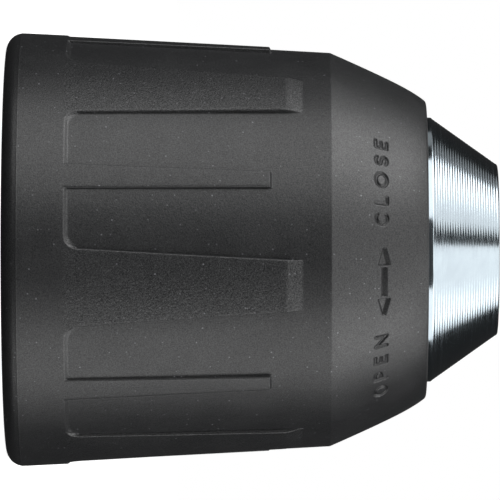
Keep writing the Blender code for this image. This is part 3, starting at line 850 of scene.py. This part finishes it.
class Nodes:
    """A material's node tree, with short ways to add and link nodes."""

    def __init__(self, name):
        self.material = bpy.data.materials.new(name)
        self.material.use_nodes = True
        self.tree = self.material.node_tree
        self.shader = self.tree.nodes["Principled BSDF"]

    def add(self, kind, **settings):
        """A new node with its settings."""
        node = self.tree.nodes.new(kind)
        for key, value in settings.items():
            setattr(node, key, value)
        return node

    def link(self, source, target):
        self.tree.links.new(source, target)

    def places(self):
        """The piece's own coordinates in millimetres."""
        where = self.add("ShaderNodeTexCoord")
        scaled = self.add("ShaderNodeVectorMath", operation="SCALE")
        scaled.inputs["Scale"].default_value = 1 / MM
        self.link(where.outputs["Object"], scaled.inputs[0])
        return scaled.outputs["Vector"]

    def round_places(self):
        """(distance from the axis, 0, z) in millimetres, the same all the way round."""
        split = self.add("ShaderNodeSeparateXYZ")
        self.link(self.places(), split.inputs[0])
        flat = self.add("ShaderNodeCombineXYZ")
        self.link(split.outputs["X"], flat.inputs["X"])
        self.link(split.outputs["Y"], flat.inputs["Y"])
        radius = self.add("ShaderNodeVectorMath", operation="LENGTH")
        self.link(flat.outputs[0], radius.inputs[0])
        joined = self.add("ShaderNodeCombineXYZ")
        self.link(radius.outputs["Value"], joined.inputs["X"])
        self.link(split.outputs["Z"], joined.inputs["Z"])
        return joined.outputs[0]

    def noise(self, places, size, detail=3.0, roughness=0.55):
        """Noise whose features are about `size` millimetres across."""
        made = self.add("ShaderNodeTexNoise")
        made.inputs["Scale"].default_value = 1 / size
        made.inputs["Detail"].default_value = detail
        made.inputs["Roughness"].default_value = roughness
        self.link(places, made.inputs["Vector"])
        return made.outputs["Fac"]

    def between(self, factor, low, high, start=0.3, end=0.7):
        """A number from low to high, as a factor goes from start to end."""
        made = self.add("ShaderNodeMapRange")
        made.inputs["From Min"].default_value = start
        made.inputs["From Max"].default_value = end
        made.inputs["To Min"].default_value = low
        made.inputs["To Max"].default_value = high
        self.link(factor, made.inputs["Value"])
        return made.outputs["Result"]

    def colours(self, factor, dark, light, start=0.3, end=0.7):
        """A colour from dark to light, as a factor goes from start to end."""
        made = self.add("ShaderNodeValToRGB")
        made.color_ramp.elements[0].position = start
        made.color_ramp.elements[0].color = (*dark, 1.0)
        made.color_ramp.elements[1].position = end
        made.color_ramp.elements[1].color = (*light, 1.0)
        self.link(factor, made.inputs["Fac"])
        return made.outputs["Color"]

    def bump(self, height, depth, below=None):
        """A bump of `depth` millimetres, on top of another bump."""
        made = self.add("ShaderNodeBump")
        made.inputs["Strength"].default_value = 1.0
        made.inputs["Distance"].default_value = depth * MM
        self.link(height, made.inputs["Height"])
        if below is not None:
            self.link(below, made.inputs["Normal"])
        return made.outputs["Normal"]

    def set(self, **values):
        """Sets constants on the shader's own sockets."""
        for key, value in values.items():
            self.shader.inputs[key.replace("_", " ")].default_value = value

    def feed(self, **sources):
        """Links sources to the shader's sockets."""
        for key, source in sources.items():
            self.link(source, self.shader.inputs[key.replace("_", " ")])


def fibre_ends(n, places):
    """Where a few glass fibres end at the nylon's surface: a small spot in one cell out of five."""
    cells = n.add("ShaderNodeTexVoronoi")
    cells.inputs["Scale"].default_value = 1 / FIBRE_SPACING
    n.link(places, cells.inputs["Vector"])
    spot = n.between(cells.outputs["Distance"], 1.0, 0.0, *FIBRE_SPOT)
    pick = n.add("ShaderNodeSeparateColor")
    n.link(cells.outputs["Color"], pick.inputs[0])
    chosen = n.between(pick.outputs[0], 0.0, 1.0, *FIBRE_CHOICE)
    both = n.add("ShaderNodeMath", operation="MULTIPLY")
    n.link(spot, both.inputs[0])
    n.link(chosen, both.inputs[1])
    return both.outputs[0]


def moulded_nylon(name, grain, depth, rough, sparkle):
    """Black glass-filled nylon: a spark-eroded grain, slight mottling and a few pale fibre ends."""
    n = Nodes(name)
    places = n.places()
    fine = n.noise(places, grain, 2.0)
    broad = n.noise(places, 3.5, 4.0)
    speckle = n.noise(places, SPECKLE_SIZE, 1.0)
    base = n.colours(speckle, NYLON_DARK, NYLON_LIGHT)
    mixed = n.add("ShaderNodeMix", data_type="RGBA")
    n.link(fibre_ends(n, places), mixed.inputs["Factor"])
    n.link(base, mixed.inputs["A"])
    mixed.inputs["B"].default_value = (*FIBRE_COLOUR, 1.0)
    rougher = n.between(broad, rough - 0.04, rough + 0.04)
    shinier = n.between(speckle, 0.5 - sparkle, 0.5 + sparkle)
    n.feed(Base_Color=mixed.outputs["Result"], Roughness=rougher)
    n.feed(Normal=n.bump(fine, depth), Specular_IOR_Level=shinier)
    n.set(Metallic=0.0, IOR=1.5)
    return n.material


def turned_metal(name, dark, light, rough, lines, depth):
    """Metal with tool lines all the way round its axis and a faint cloudiness."""
    n = Nodes(name)
    rings = n.noise(n.round_places(), lines, 2.0)
    cloud = n.noise(n.places(), 2.0, 4.0)
    n.feed(Base_Color=n.colours(cloud, dark, light), Normal=n.bump(rings, depth))
    n.feed(Roughness=n.between(rings, rough - 0.05, rough + 0.06))
    n.set(Metallic=1.0)
    return n.material


def plain_metal(name, dark, light, rough, grain, depth):
    """Metal with an even grain: ground, tumbled or plated."""
    n = Nodes(name)
    fine = n.noise(n.places(), grain, 3.0)
    cloud = n.noise(n.places(), 1.6, 4.0)
    n.feed(Base_Color=n.colours(cloud, dark, light), Normal=n.bump(fine, depth))
    n.feed(Roughness=n.between(cloud, rough - 0.06, rough + 0.06))
    n.set(Metallic=1.0)
    return n.material


def cage_nylon():
    """Undyed nylon with a faint cloudiness."""
    n = Nodes("natural_nylon")
    cloud = n.noise(n.places(), 1.2, 3.0)
    n.feed(Base_Color=n.colours(cloud, (0.48, 0.45, 0.36), (0.58, 0.55, 0.45)))
    n.feed(Normal=n.bump(n.noise(n.places(), 0.1), 0.004), Roughness=n.between(cloud, 0.42, 0.55))
    n.set(Metallic=0.0)
    return n.material


# ---------------------------------------------------------------- studio


def emitter(name, near, far, diffuse=0.0):
    """A white surface that glows, more so away from the object, and takes some of the studio's light."""
    n = Nodes(name)
    away = n.add("ShaderNodeVectorMath", operation="LENGTH")
    n.link(n.places(), away.inputs[0])
    glow = n.between(away.outputs["Value"], near, far, FLOOR_FADE[0] / MM, FLOOR_FADE[1] / MM)
    n.feed(Emission_Strength=glow)
    n.set(Base_Color=(diffuse, diffuse, diffuse, 1.0), Roughness=1.0, Specular_IOR_Level=0.0)
    n.set(Emission_Color=(1.0, 1.0, 1.0, 1.0))
    return n.material


def hide_from_light(thing):
    """Only the camera sees it, so it neither lights the object nor shows in its steel."""
    thing.visible_diffuse = False
    thing.visible_glossy = False
    thing.visible_transmission = False
    thing.visible_shadow = False


def make_studio():
    """A white dome, and a floor a hair below the object."""
    bm = bmesh.new()
    bmesh.ops.create_uvsphere(bm, u_segments=64, v_segments=32, radius=STUDIO_R / MM)
    hide_from_light(shape("backdrop", bm, [emitter("backdrop_white", 1.0, 1.0)]))
    bm = bmesh.new()
    bmesh.ops.create_circle(bm, cap_ends=True, segments=96, radius=STUDIO_R * 0.98 / MM)
    floor = shape("floor", bm, [emitter("floor_white", 0.88, 1.0, 0.5)])
    floor.location.z = -FLOOR_DROP
    hide_from_light(floor)


def softbox(name, place, aim, size, radiance):
    """An area light of an even brightness, which the camera doesn't see."""
    wide, high = size
    light = bpy.data.lights.new(name, "AREA")
    light.shape = "RECTANGLE"
    light.size = wide
    light.size_y = high
    light.energy = radiance * math.pi * wide * high
    made = bpy.data.objects.new(name, light)
    bpy.context.scene.collection.objects.link(made)
    made.location = place
    made.rotation_mode = "QUATERNION"
    made.rotation_quaternion = (Vector(aim) - Vector(place)).to_track_quat("-Z", "Y")
    made.visible_camera = False
    return made


def make_lights():
    """Tall strips beside the camera, panels over the nose, and wings and top lights around them."""
    for name, azimuth, wide, radiance in STRIPS:
        turn = math.radians(azimuth)
        place = (STRIP_AWAY * math.sin(turn), -STRIP_AWAY * math.cos(turn), STRIP_Z)
        softbox(name, place, (0.0, 0.0, STRIP_Z), (wide, STRIP_HEIGHT), radiance)
    for name, x, y, radiance in PANELS:
        middle = (sum(x) / 2, sum(y) / 2)
        softbox(name, (*middle, PANEL_Z), (*middle, 0.0), (x[1] - x[0], y[1] - y[0]), radiance)
    for name, azimuth, elevation, size, radiance in WINGS:
        turn, rise = math.radians(azimuth), math.radians(elevation)
        level = WING_AWAY * math.cos(rise)
        height = OBJECT_CENTRE[2] + WING_AWAY * math.sin(rise)
        place = (level * math.sin(turn), -level * math.cos(turn), height)
        softbox(name, place, OBJECT_CENTRE, size, radiance)
    for name, place, size, radiance in TOP_LIGHTS:
        softbox(name, place, OBJECT_CENTRE, size, radiance)


def make_world():
    """A dim room that is brighter on the camera's side."""
    world = bpy.data.worlds.new("room")
    bpy.context.scene.world = world
    world.use_nodes = True
    tree = world.node_tree
    background = tree.nodes["Background"]
    where = tree.nodes.new("ShaderNodeTexCoord")
    split = tree.nodes.new("ShaderNodeSeparateXYZ")
    ramp = tree.nodes.new("ShaderNodeMapRange")
    ramp.inputs["From Min"].default_value = ROOM_Y[0]
    ramp.inputs["From Max"].default_value = ROOM_Y[1]
    ramp.inputs["To Min"].default_value = ROOM_GLOW[0]
    ramp.inputs["To Max"].default_value = ROOM_GLOW[1]
    tree.links.new(where.outputs["Generated"], split.inputs[0])
    tree.links.new(split.outputs["Y"], ramp.inputs["Value"])
    tree.links.new(ramp.outputs["Result"], background.inputs["Color"])
    background.inputs["Strength"].default_value = 1.0


def make_camera():
    """The photograph's view: square on to the axis, with the nose at the right."""
    data = bpy.data.cameras.new("camera")
    data.sensor_width = 36.0
    data.lens = data.sensor_width * CAMERA_DISTANCE / PICTURE_WIDTH
    data.clip_start = 0.01
    data.clip_end = 10.0
    camera = bpy.data.objects.new("camera", data)
    bpy.context.scene.collection.objects.link(camera)
    right, up, back = Vector((0, 0, 1)), Vector((-1, 0, 0)), Vector((0, -1, 0))
    camera.matrix_world = Matrix((
        (right.x, up.x, back.x, CAMERA_OFFSET),
        (right.y, up.y, back.y, -CAMERA_DISTANCE),
        (right.z, up.z, back.z, CAMERA_HEIGHT),
        (0, 0, 0, 1),
    ))
    bpy.context.scene.camera = camera


# ---------------------------------------------------------------- putting it together


def make_pieces():
    """Every piece of the chuck, each in place of its CAD node."""
    pad_nylon = moulded_nylon("black_nylon_fine", 0.16, 0.018, 0.41, 0.13)
    rib_nylon = moulded_nylon("black_nylon_coarse", 0.2, 0.045, 0.43, 0.25)
    bright = turned_metal("turned_steel", (0.345, 0.395, 0.43), (0.38, 0.435, 0.47), 0.15, 0.3, 0.0006)
    hard = turned_metal("hardened_steel", (0.22, 0.22, 0.23), (0.32, 0.32, 0.33), 0.34, 0.2, 0.002)
    nut = turned_metal("nut_steel_dark", (0.24, 0.23, 0.22), (0.36, 0.35, 0.34), 0.36, 0.15, 0.004)
    ground = plain_metal("ground_steel", (0.62, 0.62, 0.64), (0.72, 0.72, 0.74), 0.14, 0.08, 0.001)
    zinc = plain_metal("zinc_plate", (0.42, 0.43, 0.46), (0.58, 0.59, 0.61), 0.34, 0.15, 0.004)
    blued = plain_metal("blued_steel", (0.03, 0.032, 0.045), (0.06, 0.06, 0.075), 0.34, 0.2, 0.004)
    make_sleeve(pad_nylon, rib_nylon)
    make_body(bright)
    make_cover(zinc)
    make_balls(ground)
    for number in range(1, len(JAW_ANGLES) + 1):
        refine(f"jaw_{number}", f"jaw_rod_{number}", f"jaw_{number}", "jaw_steel", hard)
    refine("nut_half_a", "nut_shell_a", "sleeve", "nut_steel", nut)
    refine("nut_half_b", "nut_shell_b", "sleeve", "nut_steel", nut)
    refine("nut_collar", "collar_ring", "sleeve", "plated_steel", zinc)
    refine("race_front", "washer_front", "sleeve", "bearing_steel", ground)
    refine("race_rear", "washer_rear", "body", "bearing_steel", ground)
    refine("ball_cage", "cage_ring", "cage", "cage_plastic", cage_nylon())
    refine("snap_ring", "spring_ring", "body", "spring_steel", blued)


make_studio()
make_world()
make_lights()
make_camera()
make_pieces()
bpy.context.scene.view_settings.view_transform = "Standard"
